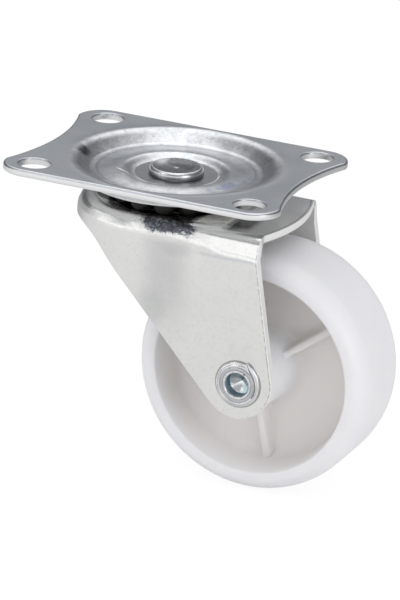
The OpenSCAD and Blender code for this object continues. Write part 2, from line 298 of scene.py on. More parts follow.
def sheet_zinc():
    """Zinc on the pressed sheet: even on the flat, mottled where the dish was pressed, with
    painted shade on the dish's sides, on the left of its roll-over, round the pin and in its
    groove, a painted highlight ring on the dish wall and painted light on the undersides.
    """
    f = Finish("plate_zinc")
    x, y, z = f.axes()
    radius = span(x, y)
    broad, cloud, fine = f.grain(55, 3, 0.6), f.grain(300, 5, 0.7), f.grain(1700, 4, 0.8)
    dish = 1 - radius.step(0.0205, 0.0226)
    wall = radius.band(0.0172, 0.0226, 0.0008)
    top = z.step(-0.0031, -0.0029)
    blotch = (cloud * 0.7 + fine * 0.3).step(0.44, 0.60)
    mark = (f.grain(700, 5, 0.85) + wall * 0.03).step(0.58, 0.66) * dish * top
    # painted shade in the dish's groove
    groove = radius.band(0.01585, 0.01640, 0.00025)
    # a painted highlight ring on the dish wall
    ring = radius.band(0.01735, 0.01765, 0.0001)
    # greasy film on the upper race, also set dark as painted shade in the gap under the dish
    grease_and_shade = (1 - radius.step(0.0126, 0.0140)) * (1 - z.step(-0.0034, -0.0030))
    # painted light: the undersides are lighter than the top, so the crown mirrors them bright
    under = 1 - z.step(-0.00142, -0.00132) * (1 - dish) - dish * top
    # painted shade on the centre disc round the pin
    disc = 1 - radius.step(0.0083, 0.0086)
    edge = z.band(-0.00132, -0.00035, 0.0001) * (1 - dish)
    # painted shade: the dish floor is darker on its left and right sides
    sides = x.step(0.006, 0.012) + (0 - x).step(0.008, 0.014)
    sides = sides * (1 - radius.step(0.0162, 0.0185))

    # marks from handling: a ring scratched round the disc, a scrape and a blue one; and painted
    # shade on the left of the dish's roll-over
    scratch = radius.band(0.00855, 0.00880, 0.0001) * f.grain(160, 3, 0.6).step(0.45, 0.55)
    scrape = (y + 0.0085 - x * x * 25).band(-0.00022, 0.00022, 0.00012)
    scrape = scrape * x.band(-0.0106, -0.0004, 0.0006) * (fine + cloud).step(0.70, 0.95)
    # painted shade on the left of the dish's roll-over
    dark = radius.band(0.0186, 0.0210, 0.0008) * (y + 0.0024).band(-0.0016, 0.0016, 0.0008)
    dark = dark * (0 - x).step(0, 0.01)
    blue = (x - 0.0137 - y * 0.25).band(-0.0012, 0.0012, 0.0006)
    blue = blue * y.band(-0.0080, 0.0045, 0.0012) * cloud.step(0.44, 0.56)

    colour = f.coats(
        f.mix(broad.step(0.38, 0.68), (0.55, 0.57, 0.595), (0.49, 0.51, 0.535)),
        (fine.step(0.45, 0.70) * 0.22, (0.34, 0.36, 0.39)),
        (dish * top * 0.8, f.mix(blotch, (0.62, 0.63, 0.64), (0.44, 0.455, 0.48))),
        (sides * top * (0.25 + 0.6 * cloud), (0.27, 0.285, 0.32)),
        (mark * 0.55, (0.24, 0.25, 0.29)),
        ((dark * (0.1 + cloud) * 1.6).clamp(), (0.05, 0.06, 0.08)),
        (blue * 0.75, (0.22, 0.25, 0.37)),
        ((groove * top * 0.6).clamp(), (0.22, 0.23, 0.24)),
        (disc * top * 0.7, (0.24, 0.25, 0.26)),
        (ring * top * 0.4, (0.86, 0.87, 0.88)),
        ((scratch * 0.8 + scrape).clamp() * top, (0.97, 0.97, 0.97)),
        (under.clamp() * 0.8, (0.84, 0.84, 0.84)),
        (edge * 0.8, (0.84, 0.84, 0.84)),
        (grease_and_shade, (0.012, 0.011, 0.010)),
    )
    worn = 0.06 + dish * 0.5 + wall * 0.6
    return f.shade(
        Base_Color=colour,
        Metallic=1 - (grease_and_shade * 0.9 + (scratch + scrape) * top * 0.7).clamp(),
        Roughness=(0.24 + 0.06 * cloud + 0.05 * fine + 0.18 * edge).clamp(),
        Normal=f.bump(fine * worn * 0.4 + cloud * worn, 0.00008, 0.8),
    )


def put(name, data):
    """Puts a mesh, a light or a camera in the scene as an object."""
    made = bpy.data.objects.new(name, data)
    bpy.context.scene.collection.objects.link(made)
    return made


top_plate = put("top_plate_pressing", plate_mesh())
top_plate.data.materials.append(sheet_zinc())
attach(top_plate, "plate")
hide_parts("top_plate")


# ---------------------------------------------------------------- kingpin
# A zinc-plated steel rivet pins the whole swivel together. Its round head is formed
# in the dish by a punch, which leaves the hollowed top and the small centre mark.

class Recipe:
    """A Geometry Nodes tree with named inputs, and one call that adds a node."""

    def __init__(self, name, inputs):
        self.tree = bpy.data.node_groups.new(name, "GeometryNodeTree")
        face = self.tree.interface
        face.new_socket("Geometry", in_out="INPUT", socket_type="NodeSocketGeometry")
        self.keys = {}
        for label, kind, value in inputs:
            socket = face.new_socket(label, in_out="INPUT", socket_type="NodeSocket" + kind)
            if value is not None:
                socket.default_value = value
            self.keys[label] = socket.identifier
        face.new_socket("Geometry", in_out="OUTPUT", socket_type="NodeSocketGeometry")
        self.start = self.tree.nodes.new("NodeGroupInput")
        self.end = self.tree.nodes.new("NodeGroupOutput")

    def given(self, label):
        return self.start.outputs[label]

    def add(self, kind, settings=None, sockets=None, out=0):
        made = add_node(self.tree, kind, settings, sockets)
        return made.outputs[out] if made.outputs else None

    def finish(self, geometry, material):
        """Ends the tree as the export needs it: real mesh, smooth, one material."""
        real = self.add("GeometryNodeRealizeInstances", None, {"Geometry": geometry})
        painted = self.add(
            "GeometryNodeSetMaterial", None, {"Geometry": real, "Material": self.given(material)}
        )
        self.tree.links.new(painted, self.end.inputs[0])

    def make(self, name, start_mesh, **values):
        """Runs the tree on start_mesh and returns the result as a plain piece."""
        holder = put(name, start_mesh)
        modifier = holder.modifiers.new("recipe", "NODES")
        modifier.node_group = self.tree
        for label, value in values.items():
            modifier[self.keys[label.replace("_", " ")]] = value
        holder.update_tag()
        graph = bpy.context.evaluated_depsgraph_get()
        mesh = bpy.data.meshes.new_from_object(holder.evaluated_get(graph))
        mesh.name = name
        bpy.data.objects.remove(holder)
        return put(name, mesh)


PATH_R = 0.05


def turned_recipe():
    """Sweeps a half section, drawn as (radius, height), round an axis."""
    r = Recipe("turned_part", [
        ("Segments", "Int", 96), ("Place", "Vector", (0, 0, 0)), ("Tilt", "Vector", (0, 0, 0)),
        ("Finish", "Material", None),
    ])
    section = r.add("GeometryNodeMeshToCurve", None, {0: r.given("Geometry")})
    circle = r.add(
        "GeometryNodeCurvePrimitiveCircle", None,
        {"Resolution": r.given("Segments"), "Radius": PATH_R},
    )
    swept = r.add("GeometryNodeCurveToMesh", None, {"Curve": circle, "Profile Curve": section})
    closed = r.add("GeometryNodeMergeByDistance", None, {"Geometry": swept, "Distance": 1e-6})
    smooth = r.add("GeometryNodeSetShadeSmooth", None, {"Geometry": closed})
    placed = r.add(
        "GeometryNodeTransform", None,
        {"Geometry": smooth, "Translation": r.given("Place"), "Rotation": r.given("Tilt")},
    )
    r.finish(placed, "Finish")
    return r


def half_section(points):
    """The section as a wire, set off from the sweep's circle. Points run in millimetres."""
    wire = bpy.data.meshes.new("section")
    spots = [(r * MM - PATH_R, -z * MM, 0) for r, z in points]
    wire.from_pydata(spots, [(i, i + 1) for i in range(len(spots) - 1)], [])
    return wire


def outward(mesh):
    """Turns every face of a closed mesh outwards."""
    form = bmesh.new()
    form.from_mesh(mesh)
    bmesh.ops.remove_doubles(form, verts=form.verts, dist=1e-6)
    bmesh.ops.recalc_face_normals(form, faces=form.faces)
    form.to_mesh(mesh)
    form.free()


CUP_FLOOR, CUP_UNDER = -12.37, -13.57


def kingpin_section():
    """(radius, height) from the middle of the head's top, down the outside, to the foot."""
    top, head_r, shank_r = -1.5, 5.6, 4.9
    lip, round_r, round_h = top + 0.35, 0.7, 1.0
    hollow = [(0.02, top - 0.30), (0.30, top - 0.28), (0.55, top - 0.20), (0.8, top - 0.18),
              (2.2, top - 0.16), (3.2, top - 0.08), (4.0, top + 0.06), (4.5, top + 0.20),
              (4.8, lip - 0.02)]
    side = [(head_r - round_r * (1 - math.sin(a)), lip - round_h * (1 - math.cos(a)))
            for a in (math.pi / 2 * i / 12 for i in range(1, 13))]
    shank = [(head_r, DISC_TOP), (PIN_R, DISC_TOP), (PIN_R, DISC_UNDER),
             (shank_r, DISC_UNDER), (shank_r, CUP_FLOOR), (PIN_R, CUP_FLOOR)]
    foot = [(PIN_R, 0), (5.3, 0), (5.5, -0.15), (5.5, -0.5), (5.2, -1.0), (4.7, -1.4),
            (2.5, -1.4), (2.2, -1.2), (0.02, -1.15)]
    return hollow + side + shank + [(r, CUP_UNDER + z) for r, z in foot]


def rivet_zinc():
    """The head's hollow top carries painted shade, with a painted shadow at its far side and
    painted highlights on its flanks, and its side is painted darker towards the foot; a greasy
    film has crept up from below.
    """
    f = Finish("rivet_zinc")
    x, y, z = f.axes()
    radius = span(x, y)
    cloud, fine = f.grain(380, 4, 0.7), f.grain(1800, 3, 0.75)
    # the hollow top carries painted shade; behind and flank place its painted shadow and painted
    # highlights
    hollow = z.step(-0.00190, -0.00182) * (1 - radius.step(0.00480, 0.00488))
    behind = (y + x * 0.3 + cloud * 0.0010).step(0.0008, 0.0018)
    flank = (x * x).step(0.0000065, 0.000014)
    mark = 1 - radius.step(0.0004, 0.0008)
    above = z.step(-0.0044, -0.0040)
    # painted shade: the lower half of the head's side is darker towards the dish
    foot = above * (1 - z.step(-0.00275, -0.00195))
    smear = (1 - above) * radius.band(0.0, 0.0125, 0.0004) * (cloud + 0.2).step(0.45, 0.60)
    colour = f.coats(
        f.mix(cloud.step(0.40, 0.62), (0.62, 0.63, 0.65), (0.54, 0.56, 0.58)),
        (foot * 0.5, (0.20, 0.21, 0.22)),
        (hollow, (0.24, 0.25, 0.26)),
        (hollow * behind * 0.7, (0.06, 0.065, 0.07)),
        (hollow * flank * 0.7, (0.40, 0.41, 0.44)),
        (hollow * fine.step(0.52, 0.62) * 0.2, (0.50, 0.51, 0.53)),
        (hollow * mark * 0.15, (0.60, 0.61, 0.63)),
        (smear * 0.8, (0.05, 0.045, 0.04)),
    )
    return f.shade(
        Base_Color=colour, Metallic=1 - smear * 0.5, Roughness=0.22 + 0.12 * cloud,
        Normal=f.bump(fine * 0.6 + cloud, 0.00003, 0.3),
    )


turned = turned_recipe()
rivet_steel = rivet_zinc()
kingpin = turned.make(
    "kingpin_rivet", half_section(kingpin_section()), Segments=96, Finish=rivet_steel
)
outward(kingpin.data)
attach(kingpin, "plate")
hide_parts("kingpin")


# ---------------------------------------------------------------- ball races
# Two rings of hardened steel balls carry the fork: the large ring between plate and
# crown, the small one between crown and cup. Both are packed with dark grease.

def ring_recipe():
    """Sets balls round the axis, all at one height."""
    r = Recipe("ball_ring", [
        ("Balls", "Int", 14), ("Ring radius", "Float", 0.0112),
        ("Ball radius", "Float", 0.00238), ("Height", "Float", 0.0),
        ("Finish", "Material", None),
    ])
    circle = r.add(
        "GeometryNodeCurvePrimitiveCircle", None,
        {"Resolution": r.given("Balls"), "Radius": r.given("Ring radius")},
    )
    ball = r.add(
        "GeometryNodeMeshUVSphere", None,
        {"Segments": 32, "Rings": 18, "Radius": r.given("Ball radius")},
    )
    round_ball = r.add("GeometryNodeSetShadeSmooth", None, {"Geometry": ball})
    set_out = r.add(
        "GeometryNodeInstanceOnPoints", None, {"Points": circle, "Instance": round_ball}
    )
    lift = r.add("ShaderNodeCombineXYZ", None, {"Z": r.given("Height")})
    placed = r.add("GeometryNodeTransform", None, {"Geometry": set_out, "Translation": lift})
    r.finish(placed, "Finish")
    return r


def greased_steel():
    """Steel under a black greasy film, with a few places worn bare."""
    f = Finish("greased_balls")
    smear = f.grain(420, 4, 0.6).step(0.20, 0.36)
    return f.shade(
        Base_Color=f.mix(smear, (0.40, 0.40, 0.40), (0.012, 0.011, 0.010)),
        Metallic=1 - smear, Roughness=0.16 + 0.14 * smear, Specular_IOR_Level=0.2,
    )


PLAY = 0.1
LOW_RACE_R, LOW_RACE_Z, LOW_RACE_CUT = 8.1, -10.785, 2.085
ball_ring = ring_recipe()
ball_finish = greased_steel()
for name, count, ring_r, ball_r, height in (
    ("upper", 14, RACE_R, RACE_CUT - PLAY, RACE_Z),
    ("lower", 12, LOW_RACE_R, LOW_RACE_CUT - PLAY, LOW_RACE_Z),
):
    balls = ball_ring.make(
        name + "_ball_ring", bpy.data.meshes.new("start"),
        Balls=count, Ring_radius=ring_r * MM, Ball_radius=ball_r * MM,
        Height=height * MM, Finish=ball_finish,
    )
    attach(balls, name + "_balls")
    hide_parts(*["%s_ball_%d" % (name, i + 1) for i in range(count)])


# ---------------------------------------------------------------- lower cup
# A small dish of zinc-plated sheet with its rim turned up round the lower balls.
# The kingpin's foot is clinched under it and holds it for good.

def cup_section():
    """(radius, height) from the pin over the lower race, round the rim and back below."""
    inner_r, outer_r, rim = 10.335, 11.535, -10.0
    race = [(LOW_RACE_R + LOW_RACE_CUT * math.sin(a), LOW_RACE_Z - LOW_RACE_CUT * math.cos(a))
            for a in (math.radians(-36 + 72 * i / 12) for i in range(13))]
    inside = [(inner_r - 0.5, CUP_FLOOR), (inner_r - 0.15, CUP_FLOOR + 0.12),
              (inner_r, CUP_FLOOR + 0.5)]
    lip = [(inner_r, rim - 0.35), (inner_r + 0.2, rim), (outer_r - 0.25, rim),
           (outer_r, rim - 0.3)]
    outside = arc(outer_r - 1, CUP_UNDER + 1, 1, 0, -90, 8)
    bore = [(PIN_R, CUP_UNDER), (PIN_R, CUP_FLOOR)]
    return [(PIN_R, CUP_FLOOR)] + race + inside + lip + outside + bore


cup = turned.make(
    "lower_cup_pressing", half_section(cup_section()), Segments=96, Finish=rivet_steel
)
outward(cup.data)
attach(cup, "plate")
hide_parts("lower_cup")


# ---------------------------------------------------------------- fork
# One pressing of thick zinc-plated sheet: a flat crown, a skirt rolled round the
# front, and two legs that taper to round ends, where the axle goes through.

FORK_Y, FORK_T = 15.65, 1.6
CROWN_TOP, CROWN_BOT = -7.6, -9.2
FRONT_X, SHOULDER_X, TAIL = 4.4, 25.1, 2.3
SHOULDER_Z, SKIRT_X, SKIRT_Z = -12.6, -12.9, -12.1
AXLE_X, AXLE_Z, AXLE_R = 22.6, -38.7, 3.0
END_X, END_Z, END_R = 22.2, -38.5, 7.6


def new_mesh(name, points, faces):
    """A closed mesh from points in millimetres, faced outwards."""
    mesh = bpy.data.meshes.new(name)
    mesh.from_pydata([(x * MM, y * MM, z * MM) for x, y, z in points], [], faces)
    outward(mesh)
    return mesh


def prism(name, outline, low, high, along="z"):
    """An outline pulled out along z, or along y from an outline in x and z."""
    if along == "z":
        points = [(x, y, h) for h in (low, high) for x, y in outline]
    else:
        points = [(x, h, z) for h in (low, high) for x, z in outline]
    n = len(outline)
    sides = [(i, (i + 1) % n, n + (i + 1) % n, n + i) for i in range(n)]
    return new_mesh(name, points, sides + [tuple(range(n)), tuple(range(n, 2 * n))])


def torus(name, ring_r, cut_r, z, around=160, across=40):
    """The room that a ring of balls rolls in."""
    points = []
    for i in range(around):
        a = 2 * math.pi * i / around
        for r, h in arc(ring_r, z, cut_r, 0, 360, across)[:-1]:
            points.append((r * math.cos(a), r * math.sin(a), h))
    faces = []
    for i in range(around):
        here, after = i * across, (i + 1) % around * across
        for j in range(across):
            k = (j + 1) % across
            faces.append((here + j, here + k, after + k, after + j))
    return new_mesh(name, points, faces)


def worked(name, mesh, steps):
    """Runs modifiers on a mesh in order. A mesh among their settings is a cutter."""
    piece, tools = put(name, mesh), []
    for kind, settings in steps:
        modifier = piece.modifiers.new(kind, kind)
        for key, wanted in settings.items():
            if isinstance(wanted, bpy.types.Mesh):
                wanted = put("cutter", wanted)
                tools.append(wanted)
            setattr(modifier, key, wanted)
    graph = bpy.context.evaluated_depsgraph_get()
    result = bpy.data.meshes.new_from_object(piece.evaluated_get(graph))
    result.name = name
    for used in tools + [piece]:
        bpy.data.objects.remove(used)
    return result


def shoulder(x):
    """Sizes of the drawn shoulder at a distance behind the swivel: bend, flare, foot."""
    stops = [
        (-FRONT_X - 16, 2.6, 0.25, -10.6), (-FRONT_X, 2.8, 0.25, -10.8),
        (0, 2.6, 0.25, -10.8), (7, 2.4, 0.30, -10.5), (13, 2.2, 0.50, -10.9),
        (18, 2.3, 0.62, -11.9), (32, 2.5, 0.70, -12.5),
    ]
    for (x0, *low), (x1, *high) in zip(stops, stops[1:]):
        if x <= x1:
            t = max(0, (x - x0) / (x1 - x0))
            t = t * t * (3 - 2 * t)
            return [p + (q - p) * t for p, q in zip(low, high)]


def fork_section(x):
    """Half section across the fork, as (distance from the middle, height)."""
    bend, flare, foot = shoulder(x)
    bottom, inner_bend = -50, 0.5
    lean = math.degrees(math.atan2(flare, CROWN_TOP - bend - foot))
    outer, inner = FORK_Y - flare, FORK_Y - FORK_T
    outside = [(0, CROWN_TOP)] + arc(outer - bend, CROWN_TOP - bend, bend, 90, lean, 12)

    def eased(y, *shares):
        return [(y - flare * (1 - t) ** 2 * 0.45, foot + 1.2 * (0.5 - t)) for t in shares]

    outside += eased(FORK_Y, 0, 0.25, 0.5, 0.75, 1) + [(FORK_Y, bottom)]
    inside = [(inner, bottom)] + eased(inner, 1, 0.5, 0)
    edge = inner - flare * 0.95
    inside += arc(edge - inner_bend, CROWN_BOT - inner_bend, inner_bend, 0, 90, 5)
    return outside + inside + [(0, CROWN_BOT)]


def fork_shell():
    """The bent sheet before its edges are cut: straight at the back, round in front."""
    back, front_r = 31, 16
    leg = [back - (back + FRONT_X) * i / 24 for i in range(25)]
    turns = [math.radians(90 + 2.5 * i) for i in range(73)]
    stations = [(x, 0, 1) for x in leg[:-1]]
    stations += [(-FRONT_X, math.cos(a), math.sin(a)) for a in turns]
    stations += [(x, 0, -1) for x in leg[-2::-1]]
    sections = [fork_section(x + front_r * c) for x, c, _ in stations]
    points = [(x + r * c, r * s, z)
              for (x, c, s), row in zip(stations, sections) for r, z in row]
    n = len(sections[0])
    faces = []
    for i in range(len(stations) - 1):
        for j in range(n - 1):
            a = i * n + j
            faces.append((a, a + 1, a + n + 1, a + n))
    last = (len(stations) - 1) * n
    faces.append(tuple(range(n)))
    faces.append(tuple(range(last + n - 1, last - 1, -1)))
    return new_mesh("fork_shell", points, faces)


def tangent(px, pz, cx, cz, radius, side):
    """Angle of the tangent from a point to a circle, and the point it touches."""
    reach = math.hypot(cx - px, cz - pz)
    angle = math.atan2(cz - pz, cx - px) + side * math.asin(radius / reach)
    run = math.sqrt(reach * reach - radius * radius)
    return angle, (px + run * math.cos(angle), pz + run * math.sin(angle))


def fork_side():
    """Side outline of skirt and leg, from the front, round the leg's end, to the shoulder."""
    curve = 12.0
    slope, front = tangent(SKIRT_X, SKIRT_Z, END_X, END_Z, END_R, -1)
    rear = tangent(SHOULDER_X, SHOULDER_Z, END_X, END_Z, END_R, 1)[1]
    centre_x, centre_z = SKIRT_X - curve * math.tan(-slope / 2), SKIRT_Z - curve
    bend = arc(centre_x, centre_z, curve, 90, 90 + math.degrees(slope), 16)
    first, last = (
        math.degrees(math.atan2(z - END_Z, x - END_X)) for x, z in (front, rear)
    )
    end = arc(END_X, END_Z, END_R, first, last + (360 if last < first else 0), 48)
    over = [(SHOULDER_X, SHOULDER_Z), (SHOULDER_X, 0), (-22, 0)]
    return [(-22, SKIRT_Z)] + bend + end + over


def tail_plan():
    """Plan of the crown's bulging rear edge, which runs out softly at the shoulders."""
    flat_y, soft = 12.65, 1.2
    bulge_r = (flat_y * flat_y + TAIL * TAIL) / (2 * TAIL)
    centre = SHOULDER_X + TAIL - bulge_r
    edge = []
    for i in range(81):
        y = -flat_y - soft + 2 * (flat_y + soft) * i / 80
        x = centre + math.sqrt(bulge_r * bulge_r - y * y) - SHOULDER_X
        edge.append((SHOULDER_X + (x + math.sqrt(x * x + 0.10)) / 2, y))
    return [(SHOULDER_X - 1.5, -flat_y - soft)] + edge + [(SHOULDER_X - 1.5, flat_y + soft)]


def boolean(operation, tool):
    """A step for worked that joins a tool to the mesh or cuts it with one."""
    return "BOOLEAN", {"operation": operation, "solver": "EXACT", "object": tool}


SHARP = math.radians(38)
blank = worked("fork_blank", prism("side", fork_side(), -20, 20, "y"), [
    boolean("UNION", prism("tail", tail_plan(), -12, -1)),
])
crown_hole = prism("hole", arc(0, 0, 5.4, 0, 360, 80)[:-1], -12, -5)
axle_hole = prism("bore", arc(AXLE_X, AXLE_Z, AXLE_R, 0, 360, 56)[:-1], -20, 20, "y")
fork_mesh = worked("fork_pressing", fork_shell(), [
    boolean("INTERSECT", blank),
    boolean("DIFFERENCE", crown_hole),
    boolean("DIFFERENCE", axle_hole),
    ("BEVEL", {"width": 0.00034, "segments": 3, "limit_method": "ANGLE",
               "angle_limit": SHARP, "use_clamp_overlap": True}),
    boolean("DIFFERENCE", torus("upper_race", RACE_R, RACE_CUT, RACE_Z)),
    boolean("DIFFERENCE", torus("lower_race", LOW_RACE_R, LOW_RACE_CUT, LOW_RACE_Z)),
])
for polygon in fork_mesh.polygons:
    polygon.use_smooth = True
fork_mesh.set_sharp_from_angle(angle=SHARP)
fork_mesh = worked("fork_pressing", fork_mesh, [
    ("WEIGHTED_NORMAL", {"keep_sharp": True, "weight": 80}),
])


def fork_zinc():
    """The same zinc, with painted shade and a dark painted reflection band on the legs, a speckled
    dark painted reflection on the near shoulder and a painted pool of light on the crown.
    """
    f = Finish("fork_zinc")
    x, y, z = f.axes()
    cloud, patch = f.grain(60, 4, 0.6), f.grain(260, 4, 0.65)
    fine, torn = f.grain(1500, 4, 0.75), f.grain(1300, 5, 0.9)
    wobble = patch * 0.0040 - 0.0020
    wide = y.unsigned()
    side = wide.step(0.0145, 0.0152)
    on_crown = z.step(-0.0080, -0.0077)

    # a speckled dark painted reflection on the near shoulder's bend
    reflection_area = (0 - y).step(0.0126, 0.0142) * (x + wobble).band(-0.0004, 0.0118, 0.0026)
    reflection_area = reflection_area * (0 - z + wobble).band(0.0078, 0.0100, 0.0014)
    painted_dark_reflection = (reflection_area + torn * 1.2 + f.grain(2600, 3, 0.8) * 0.5).step(1.22, 1.52)
    reflection_speck = f.grain(2300, 2, 0.6).step(0.60, 0.66)
    reflection_tint = f.mix(fine.step(0.40, 0.62), (0.036, 0.042, 0.060), (0.12, 0.13, 0.165))

    # painted shade and dark painted reflections on the legs and round the front
    painted_leg_band = side * x.band(0.0012, 0.0096, 0.0028) * z.step(-0.036, -0.018)
    painted_leg_band = painted_leg_band * (1 - z.step(-0.0125, -0.0105))
    # a bluish dark painted reflection along the foot of the shoulder
    foot = side * x.band(0.0125, 0.0245, 0.0015)
    foot = foot * (z + wobble * 0.3).band(-0.0130, -0.0125, 0.0004)
    # a painted dark spot that bends the leg's dark painted band
    hollow = (x - 0.0030) * (x - 0.0030) + (z + 0.0260) * (z + 0.0260) * 0.6
    painted_leg_spot = (1 - (hollow ** 0.5 + wobble).step(0.0012, 0.0046)) * side
    # painted shade just below the near shoulder, the top of the same band
    below = side * (x + wobble).band(0.0048, 0.0100, 0.0012)
    below = below * (z + wobble * 0.3).band(-0.0142, -0.0120, 0.0008)
    # a painted contact shadow round the rolled axle end
    rim = span(x - AXLE_X * MM, z - AXLE_Z * MM).band(0.00472, 0.00500, 0.00012) * side
    # painted shade on the front of the skirt, which faces away from the light
    front = (0 - x).step(0.0120, 0.0175) * z.step(-0.0190, -0.0130)

    # greasy film and painted shade round the balls, a painted pool of light and painted shade on
    # the crown, and painted shade along the front bend
    core = span(x + 0.002, y)
    # greasy film and painted shade on the crown round the balls, out to where the plate's shadow
    # and dark reflection end
    grease_and_shade = on_crown * (1 - (core + wobble * 0.3).step(0.0136, 0.0144))
    grease_and_shade = grease_and_shade * (y - x * x * 17 + wobble * 0.2).step(-0.0118, -0.0111)
    # painted shade with the greasy film under the crown round the lower race
    inside = z.step(-0.0128, -0.0094) * (1 - z.step(-0.0086, -0.0080))
    inside = inside * (1 - core.step(0.0090, 0.0125))
    # a painted pool of light on the crown, made light, dull and less metallic
    painted_light_wedge = on_crown * x.band(0.0094, 0.0165, 0.0006) * (0 - y).step(0.0020, 0.0040)
    painted_light_wedge = painted_light_wedge * (y - x * 0.46 + wobble * 0.25).step(-0.0176, -0.0170)
    lift = y.step(-0.0150, -0.0090) * x.band(0.0094, 0.0165, 0.0010) * on_crown
    shade = on_crown * x.band(0.0165, 0.0212, 0.0010) * y.band(-0.0115, -0.0030, 0.0015)
    # painted shade along the upper edge of the front bend
    crease_shade = (core + wobble * 0.12).band(0.01438, 0.01458, 0.00010)
    crease_shade = crease_shade * x.band(-0.0170, -0.0080, 0.0010)
    crease_shade = crease_shade * z.step(-0.0100, -0.0096) * (0 - y).step(0.002, 0.005)
    tail_line = span(x + 0.0085, y).band(0.03540, 0.03562, 0.00006)
    tail_line = tail_line * on_crown * x.step(0.0225, 0.0235)
    dull = on_crown * x.step(0.008, 0.016)

    # the sheared edges at the back of the legs and the crown
    upper = z.step(-0.0373, -0.0371)
    leg_edge = (x - SHOULDER_X * MM).least(x * 0.984 + z * 0.182 - 0.0224)
    round_end = span(x - END_X * MM, z - END_Z * MM) - END_R * MM
    rear = upper * leg_edge + (1 - upper) * round_end
    behind = x.step(0.0215, 0.0235) * z.step(-0.0450, -0.0405)
    leg_cut = rear.step(-0.00016, -0.00006) * wide.step(0.0140, 0.0142) * behind
    tail_cut = z.band(-0.00904, -0.00776, 0.00005) * x.step(0.0246, 0.0248)
    tail_cut = tail_cut * (1 - wide.step(0.0125, 0.0135))
    cut = (leg_cut + tail_cut).clamp()
    cut_line = rear.band(-0.00040, -0.00018, 0.00005) * side * behind
    within = (1 - wide.step(0.0141, 0.0145)) * (1 - z.step(-0.0093, -0.0091))

    colour = f.coats(
        f.mix(cloud.step(0.35, 0.7), (0.79, 0.79, 0.785), (0.745, 0.745, 0.74)),
        (painted_leg_band * 0.48, (0.46, 0.47, 0.47)),
        ((painted_leg_spot * 0.30 + below * 0.20).clamp(), (0.44, 0.46, 0.45)),
        (foot * 0.45, (0.45, 0.50, 0.56)),
        (fine.step(0.50, 0.66) * 0.18, (0.50, 0.50, 0.49)),
        (f.grain(700, 3, 0.8).step(0.60, 0.66) * 0.12, (0.45, 0.46, 0.45)),
        (rim * 0.85, (0.28, 0.28, 0.26)),
        # the speckled dark painted reflection on the near shoulder
        (painted_dark_reflection * 0.95, reflection_tint),
        (painted_dark_reflection * reflection_speck * 0.8, (0.50, 0.51, 0.54)),
        ((grease_and_shade + inside).clamp(), (0.014, 0.012, 0.010)),
        (painted_light_wedge, f.mix(torn.step(0.50, 0.60), (0.95, 0.95, 0.90), (0.70, 0.70, 0.64))),
        (shade * (0.3 + patch), (0.06, 0.06, 0.055)),
        (tail_line * 0.7, (0.14, 0.14, 0.14)),
        (front * 0.6, (0.36, 0.37, 0.37)),
        (crease_shade * 0.75, (0.10, 0.10, 0.10)),
        (cut_line * torn.step(0.42, 0.56) * 0.6, (0.22, 0.22, 0.22)),
        (cut, (0.90, 0.90, 0.89)),
    )
    shine = 0.18 + 0.3 * cut + 0.08 * cloud + 0.06 * fine + 0.10 * painted_dark_reflection + 0.2 * painted_light_wedge
    covered = 0.9 * grease_and_shade + 0.7 * painted_light_wedge + 0.6 * cut + 0.6 * within + 0.35 * dull
    relief = fine * 0.5 + cloud * 0.6 + patch * 1.2 + reflection_area * torn * 4 + lift * 60
    return f.shade(
        Base_Color=colour, Metallic=1 - covered.clamp(), Roughness=shine.clamp(),
        Normal=f.bump(relief, 0.00007, 0.8),
    )


fork = put("fork_pressing", fork_mesh)
fork_mesh.materials.clear()
fork_mesh.materials.append(fork_zinc())
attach(fork, "fork")
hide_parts("fork")


# ---------------------------------------------------------------- wheel
# One moulding of off-white plastic: a rounded tread, a thin web with ribs on both
# sides, and a long tapered hub, all with the soft corners that a mould needs.

WHEEL_R, WHEEL_Y, HUB_Y = 25.0, 10.3, 13.7
POCKET_R, POCKET_Y, FILLET_R = 18, 3.5, 2


def wheel_side():
    """Section of the wheel's +y side from the bore out to the tread, as (radius, y)."""
    hub = [(3.06, HUB_Y - 0.4), (3.4, HUB_Y - 0.05), (3.6, HUB_Y), (6.1, HUB_Y)]
    hub += [(6.35, HUB_Y - 0.07), (6.53, HUB_Y - 0.25), (6.6, HUB_Y - 0.5)]
    web = arc(9.4, POCKET_Y, FILLET_R, 180, 270, 8)
    web += arc(POCKET_R, POCKET_Y, FILLET_R, 270, 360, 8)
    rim = [(20.72, WHEEL_Y - 0.45), (20.80, WHEEL_Y - 0.18), (20.98, WHEEL_Y - 0.03),
           (21.2, WHEEL_Y), (21.95, WHEEL_Y), (22.25, WHEEL_Y - 0.01)]
    tread = []
    for i in range(1, 17):
        a = math.radians(90 - 5.625 * i)
        tread.append((WHEEL_R - 2.8 * (1 - math.cos(a)), WHEEL_Y - 4.5 * (1 - math.sin(a))))
    return hub + web + rim + tread + [(WHEEL_R, 3.0), (WHEEL_R, 0.22)]


